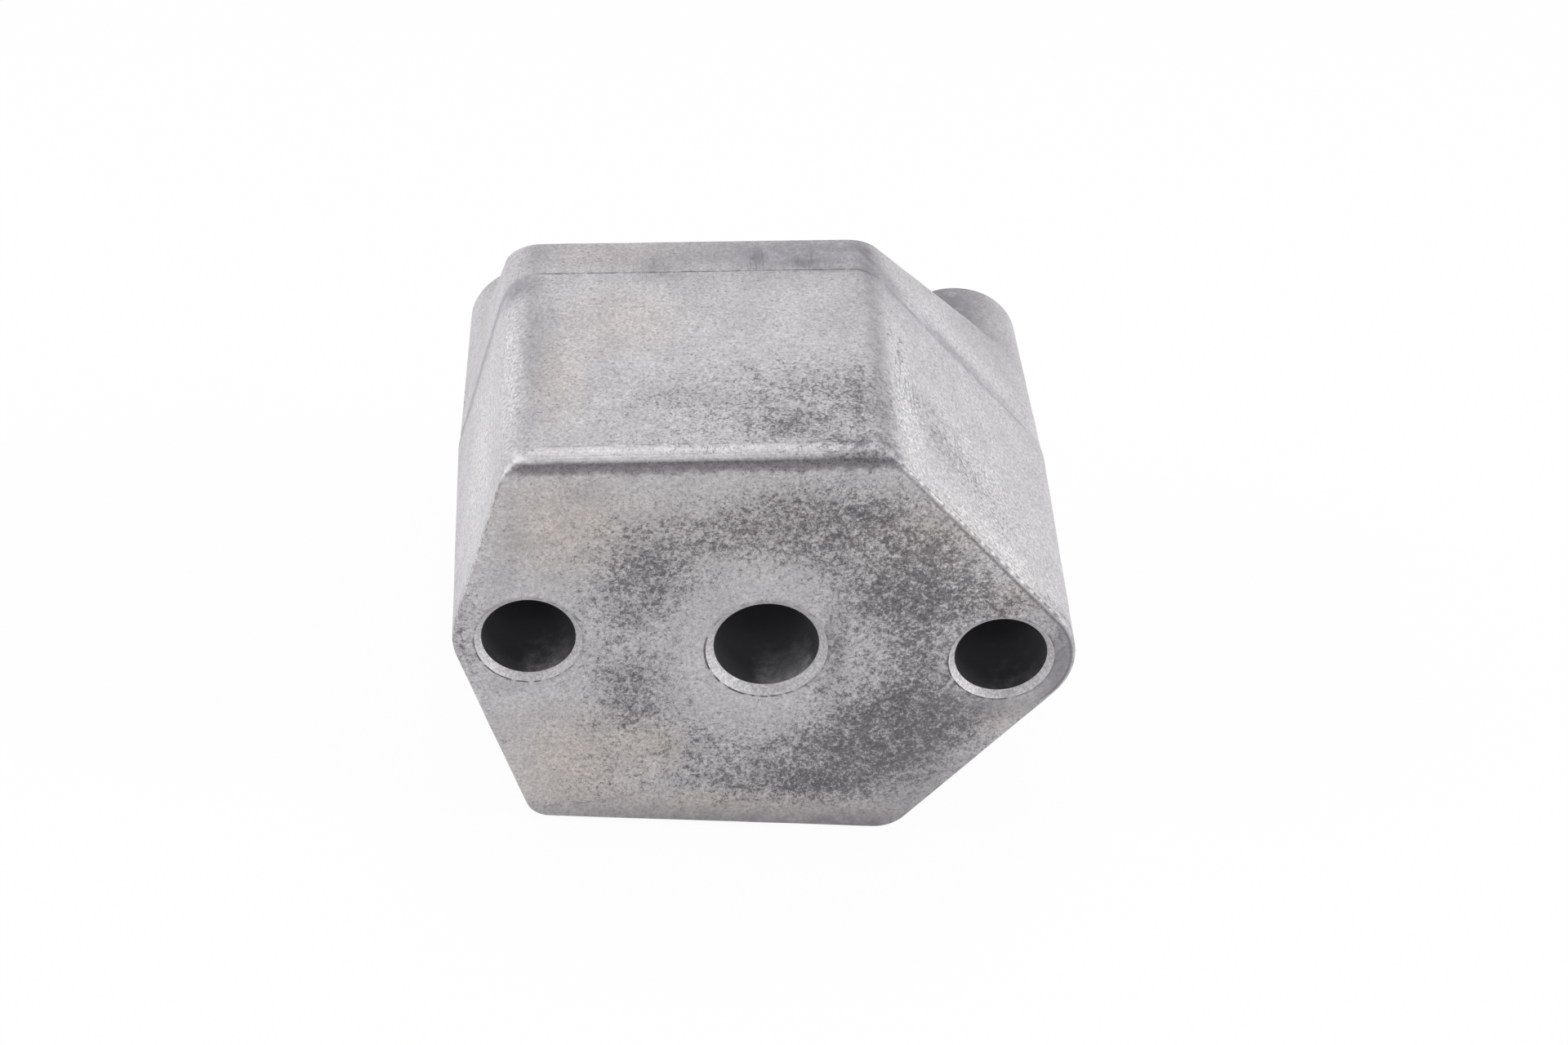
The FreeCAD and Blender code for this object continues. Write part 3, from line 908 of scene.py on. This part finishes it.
@dataclass(frozen=True)
class CastFinish:
    """Shot-blasted aluminium with clouds, stains and marks, bright machined mouths, and painted
    highlights and shade.
    """

    slot: str = "cast_aluminium"
    pale: Colour = (0.60, 0.588, 0.606)
    grey: Colour = (0.53, 0.515, 0.534)
    rubbed: Colour = (0.70, 0.69, 0.70)
    beige: Colour = (1.02, 0.966, 0.90)
    mottle: Step = (0.35, 0.65)
    warm_patches: Step = (0.3, 0.6, 0.6, 1.0)
    soot_and_shade_patches: Step = (0.3, 0.6, 0.7, 1.0)
    grain_noise: Noise = Noise(3.4, 4.0, 0.85)
    grain_edge: Step = (0.34, 0.66)
    grain_depth: float = 0.44
    grain_clean: float = 0.3
    grain_cloud: float = 0.12
    brightness: float = 0.79
    cloud_loss: float = 0.25
    clean_loss: float = 0.14
    pitting: Noise = Noise(8.0, 1.0)
    pitting_share: float = 0.3
    relief_depth: float = 0.03 * MILLIMETRE
    relief_strength: float = 0.9
    relief_loss: float = 0.8
    roughness: float = 0.48
    roughness_grain: float = 0.12
    roughness_lip: float = 0.12
    roughness_inside: float = 0.4
    metallic: float = 0.85
    metallic_loss: float = 0.6

    def material(self) -> bpy.types.Material:
        """Build the node tree.

        Returns:
            The finished material.
        """
        made = bpy.data.materials.new(self.slot)
        made.use_nodes = True
        graph = Graph(made.node_tree)
        at = SkinPoint(graph)
        grain = self.grain_noise.at(graph, at.place).rise(*self.grain_edge)
        tone = self._skin(at, grain)
        for mark in (PartingLine(), TopEdge(), EdgeLineAndHighlight(), Marks()):
            tone = mark.add(at, tone)
        tone, lip, inside = MachinedBores().add(at, tone)
        roughness = self.roughness + self.roughness_grain * grain + self.roughness_lip * lip
        surface = graph.node("ShaderNodeBsdfPrincipled", None, {
            "Base Color": tone,
            "Metallic": self.metallic - self.metallic_loss * inside,
            "Roughness": roughness + self.roughness_inside * inside,
            "Normal": self._relief(at, inside),
        })
        graph.finish("ShaderNodeOutputMaterial", surface)
        return made

    def _skin(self, at: SkinPoint, grain: Shade) -> Shade:
        """Colour of the cast skin.

        Args:
            at: the point of the skin.
            grain: the fine light and dark of the blasted metal.

        Returns:
            Mottled grey with the rubbed, beige, speckled and sooty stains on it; the soot paint
            also carries painted shade.
        """
        graph = at.graph
        tone = graph.mix(at.drift.rise(*self.mottle), self.grey, self.pale)
        tone = graph.mix(at.clean, tone, self.rubbed)
        warm = graph.painted(Paint.WARM) * at.drift.rise(*self.warm_patches)
        tone = graph.mix(warm, tone, self.beige, "MULTIPLY")
        clouds = Clouds()
        cover = clouds.cover(at)
        tone = clouds.add(at, tone, cover)
        contrast = self.grain_depth + self.grain_clean * at.clean + self.grain_cloud * cover
        level = self.brightness - cover * self.cloud_loss - self.clean_loss * at.clean
        tone = graph.vector("SCALE", tone, scale=grain * contrast + level)
        # The soot paint also carries painted shade on the boss tops and along some borders.
        soot_and_shade = graph.painted(Paint.SOOT_AND_SHADE) * at.lumps.rise(*self.soot_and_shade_patches)
        return graph.mix(soot_and_shade, tone, PALETTE.smudge_and_shade)

    def _relief(self, at: SkinPoint, inside: Shade) -> Shade:
        """Roughen the blasted skin, and the bores hardly at all.

        Args:
            at: the point of the skin.
            inside: whether it is inside a bore.

        Returns:
            The normal.
        """
        height = at.fine * (1.0 - self.pitting_share)
        height = height + self.pitting.at(at.graph, at.place) * self.pitting_share
        strength = self.relief_strength - inside * self.relief_loss
        inputs = {"Strength": strength, "Distance": self.relief_depth, "Height": height}
        return at.graph.node("ShaderNodeBump", None, inputs)


# ---- The skin of the casting ----
@dataclass
class CastSkin:
    """The casting's own surface, refined from its solid and then worn and stained.

    Sizes of edges, hollows and nicks are in metres, and slack, fade and rim depth in millimetres.
    """

    node: bpy.types.Object
    finish: CastFinish
    name: str = "block_skin"
    weld: float = 1e-7
    longest_edge: float = 0.0009
    passes: int = 7
    flat_angle: float = math.radians(1.0)
    wave_size: float = 0.0045
    wave_depth: float = 0.00005
    nick_size: float = 0.0018
    nick_depth: float = 0.00004
    wear_octaves: int = 2
    crease: float = math.radians(32.0)
    wall_slack: float = 0.05
    mouth_fade: float = 1.5
    mouth_guard: float = 0.1
    rim_depth: float = 2.0
    rim_facing: tuple[float, float] = (0.08, 0.98)
    weight_steps: int = 10
    most_paint: float = 1.2

    def build(self) -> bpy.types.Object:
        """Make the skin.

        Returns:
            The finished piece.
        """
        skin = self._copy_solid()
        self._refine(skin)
        self._mark_zones(skin)
        self._wear(skin, Zone.SKIN, self.wave_size, self.wave_depth)
        self._wear(skin, Zone.RIM, self.nick_size, self.nick_depth)
        self._paint(skin)
        self._dress(skin)
        return skin

    def _copy_solid(self) -> bpy.types.Object:
        """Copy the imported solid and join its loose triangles.

        Returns:
            The copy.
        """
        bpy.ops.object.select_all(action="DESELECT")
        self.node.select_set(True)
        bpy.context.view_layer.objects.active = self.node
        bpy.ops.object.duplicate(linked=False)
        skin = bpy.context.view_layer.objects.active
        skin.name = self.name
        skin.data.name = self.name
        bpy.ops.mesh.customdata_custom_splitnormals_clear()
        bpy.ops.object.mode_set(mode="EDIT")
        bpy.ops.mesh.select_all(action="SELECT")
        bpy.ops.mesh.remove_doubles(threshold=self.weld)
        bpy.ops.object.mode_set(mode="OBJECT")
        return skin

    def _refine(self, skin: bpy.types.Object) -> None:
        """Split long edges outside the bores until the triangles are small enough to wear.

        Args:
            skin: the piece.
        """
        bpy.ops.object.mode_set(mode="EDIT")
        bpy.context.tool_settings.mesh_select_mode = (False, True, False)
        for _ in range(self.passes):
            shape = bmesh.from_edit_mesh(skin.data)
            long_edges = 0
            for edge in shape.edges:
                is_long = edge.calc_length() > self.longest_edge and not self._in_bore(edge)
                edge.select = is_long
                long_edges += is_long
            shape.select_flush_mode()
            bmesh.update_edit_mesh(skin.data)
            if not long_edges:
                break
            bpy.ops.mesh.subdivide(number_cuts=1)
            bpy.ops.mesh.select_all(action="SELECT")
            bpy.ops.mesh.quads_convert_to_tris()
            bpy.ops.mesh.beautify_fill(angle_limit=self.flat_angle)
        bpy.ops.object.mode_set(mode="OBJECT")

    def _in_bore(self, edge: bmesh.types.BMEdge) -> bool:
        """Find the walls of the bores, which are left as they are.

        Args:
            edge: an edge of the piece.

        Returns:
            True on the wall of a bore.
        """
        middle = (edge.verts[0].co + edge.verts[1].co) / (2.0 * MILLIMETRE)
        return any(math.hypot(middle.x - bore.across, middle.z - CASTING.bore_level)
                   < bore.radius + self.wall_slack for bore in CASTING.bores)

    def _read(self, skin: bpy.types.Object, name: str) -> np.ndarray:
        """Read a vector of every point of the mesh.

        Args:
            skin: the piece.
            name: what is read.

        Returns:
            One row for each point.
        """
        values = np.empty(3 * len(skin.data.vertices))
        skin.data.vertices.foreach_get(name, values)
        return values.reshape(-1, 3)

    def _bore_distance(self, points: np.ndarray) -> np.ndarray:
        """Measure how far every point is from the nearest mouth.

        Args:
            points: every point, in millimetres.

        Returns:
            The distances in millimetres.
        """
        gaps = [np.hypot(points[:, 0] - bore.across, points[:, 2] - CASTING.bore_level)
                - bore.radius - bore.mouth for bore in CASTING.bores]
        return np.min(gaps, axis=0)

    def _mark_zones(self, skin: bpy.types.Object) -> None:
        """Weigh every point for the wear of the open skin and of the front's upper rim.

        Args:
            skin: the piece.
        """
        points = self._read(skin, "co") / MILLIMETRE
        facing_front = -self._read(skin, "normal")[:, 1]
        least_facing, most_facing = self.rim_facing
        away = np.clip(self._bore_distance(points) / self.mouth_fade - self.mouth_guard, 0.0, 1.0)
        on_rim = (facing_front > least_facing) & (facing_front < most_facing)
        on_rim &= points[:, 1] < CASTING.front + self.rim_depth
        on_rim &= points[:, 2] > CASTING.bore_level
        weights = {Zone.SKIN: away, Zone.RIM: away * on_rim}
        for zone, values in weights.items():
            group = skin.vertex_groups.new(name=zone.value)
            levels = np.round(values * self.weight_steps).astype(int)
            for level in range(1, self.weight_steps + 1):
                members = np.flatnonzero(levels == level).tolist()
                if members:
                    group.add(members, level / self.weight_steps, "REPLACE")

    def _wear(self, skin: bpy.types.Object, zone: Zone, size: float, depth: float) -> None:
        """Sink a zone unevenly, never outwards.

        Args:
            skin: the piece.
            zone: the part of it that is worn.
            size: size of the hollows.
            depth: depth of the deepest.
        """
        pattern = bpy.data.textures.new(f"{zone.value}_wear", type="CLOUDS")
        pattern.noise_scale = size
        pattern.noise_depth = self.wear_octaves
        modifier = skin.modifiers.new(f"{zone.value}_wear", "DISPLACE")
        modifier.texture = pattern
        modifier.texture_coords = "LOCAL"
        modifier.vertex_group = zone.value
        modifier.mid_level = 1.0
        modifier.strength = depth
        bpy.ops.object.select_all(action="DESELECT")
        skin.select_set(True)
        bpy.context.view_layer.objects.active = skin
        bpy.ops.object.modifier_apply(modifier=modifier.name)

    def _paint(self, skin: bpy.types.Object) -> None:
        """Store the strength of every stain at every point.

        Args:
            skin: the piece.
        """
        points = self._read(skin, "co") / MILLIMETRE
        for paint in Paint:
            values = np.zeros(len(points))
            for stain in STAINS:
                if stain.paint is paint:
                    values = np.minimum(values + stain.weight(points), self.most_paint)
            layer = skin.data.attributes.new(paint.value, "FLOAT", "POINT")
            layer.data.foreach_set("value", values)

    def _dress(self, skin: bpy.types.Object) -> None:
        """Shade, colour and register the piece.

        Args:
            skin: the piece.
        """
        skin.vertex_groups.clear()
        bpy.ops.object.shade_smooth_by_angle(angle=self.crease)
        skin.data.materials.clear()
        skin.data.materials.append(self.finish.material())
        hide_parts(self.node.name)
        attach(skin, "root")


# ---- The studio ----
@dataclass(frozen=True)
class Viewpoint:
    """The camera, in metres and degrees, with its lens in millimetres."""

    place: Triple = (-0.022742, -0.211081, 0.180968)
    turn: Triple = (51.9756, -5.3139, -2.8358)
    lens: float = 67.5
    film_width: float = 36.0
    nearest: float = 0.01

    def build(self) -> None:
        """Set up the camera."""
        camera = bpy.data.cameras.new("viewpoint")
        camera.lens = self.lens
        camera.sensor_width = self.film_width
        camera.sensor_fit = "HORIZONTAL"
        camera.clip_start = self.nearest
        holder = bpy.data.objects.new("viewpoint", camera)
        bpy.context.collection.objects.link(holder)
        holder.location = self.place
        holder.rotation_euler = [math.radians(angle) for angle in self.turn]
        bpy.context.scene.camera = holder


@dataclass(frozen=True)
class SoftLamp:
    """One square softbox, aimed at the part."""

    name: str
    place: Triple
    side: float
    power: float
    aim: Triple = (0.0, 0.0, 0.02)

    def build(self) -> None:
        """Hang the lamp."""
        lamp = bpy.data.lights.new(self.name, "AREA")
        lamp.shape = "SQUARE"
        lamp.size = self.side
        lamp.energy = self.power
        holder = bpy.data.objects.new(self.name, lamp)
        bpy.context.collection.objects.link(holder)
        holder.location = self.place
        direction = Vector(self.aim) - Vector(self.place)
        holder.rotation_euler = direction.to_track_quat("-Z", "Y").to_euler()


@dataclass(frozen=True)
class Studio:
    """Pale floor, white surroundings with a darker side behind the camera, and soft lamps."""

    lamps: tuple[SoftLamp, ...] = (
        SoftLamp("overhead", (0.02, 0.03, 0.42), 0.26, 0.5),
        SoftLamp("left_fill", (-0.42, -0.05, 0.22), 0.25, 0.75),
        SoftLamp("right_fill", (0.42, -0.08, 0.25), 0.25, 0.85),
    )
    white: Colour = (1.0, 1.0, 1.0)
    paper: Colour = (0.9, 0.9, 0.9)
    floor_size: float = 6.0
    floor_glow: float = 0.95
    floor_reflected: float = 0.62
    fill: float = 0.45
    behind_camera: Triple = (0.05, -0.97, 0.22)
    behind_spread: Step = (0.4, 0.9)
    behind_loss: float = 0.95
    overhead_dimming: Step = (0.15, 0.8, 1.0, 0.68)

    def build(self) -> None:
        """Build the floor, the surroundings and the lamps."""
        self._floor()
        self._surroundings()
        for lamp in self.lamps:
            lamp.build()

    def _floor(self) -> None:
        """White floor that keeps a soft part of the shadow."""
        bpy.ops.object.select_all(action="DESELECT")
        bpy.ops.mesh.primitive_plane_add(size=self.floor_size, location=(0.0, 0.0, 0.0))
        floor = bpy.context.view_layer.objects.active
        floor.name = "floor"
        made = bpy.data.materials.new("floor_white")
        made.use_nodes = True
        made.cycles.emission_sampling = "NONE"
        graph = Graph(made.node_tree)
        camera, glossy, through = graph.rays()
        seen = camera.most(through).most(glossy * self.floor_reflected) * self.floor_glow
        paper = graph.node("ShaderNodeBsdfDiffuse", None, {"Color": _rgba(self.paper)})
        glow = graph.node("ShaderNodeEmission", None, {"Color": _rgba(self.white), "Strength": 1.0})
        graph.finish("ShaderNodeOutputMaterial",
                     graph.node("ShaderNodeMixShader", None, {0: seen, 1: paper, 2: glow}))
        floor.data.materials.append(made)

    def _surroundings(self) -> None:
        """White all round for what is seen directly, softer for the light it gives."""
        world = bpy.data.worlds.new("studio")
        bpy.context.scene.world = world
        world.use_nodes = True
        world.cycles.sampling_method = "NONE"
        graph = Graph(world.node_tree)
        direction = graph.node("ShaderNodeTexCoord", output="Generated")
        facing = graph.vector("DOT_PRODUCT", direction, self.behind_camera)
        upward = graph.split(direction)[2]
        behind = 1.0 - facing.rise(*self.behind_spread) * self.behind_loss
        camera, glossy, through = graph.rays()
        seen = camera.most(through)
        strength = seen + glossy * (behind * upward.rise(*self.overhead_dimming))
        strength = strength + (1.0 - seen.most(glossy)) * self.fill
        background = graph.node("ShaderNodeBackground", None,
                                {"Color": _rgba(self.white), "Strength": strength})
        graph.finish("ShaderNodeOutputWorld", background)


def main() -> None:
    """Build the piece and the studio."""
    bpy.context.scene.view_settings.view_transform = "Standard"
    skin = CastSkin(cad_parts["cast_block"], CastFinish()).build()
    log.info("%s: %d triangles", skin.name, len(skin.data.polygons))
    Studio().build()
    Viewpoint().build()


if __name__ == "__main__":
    main()
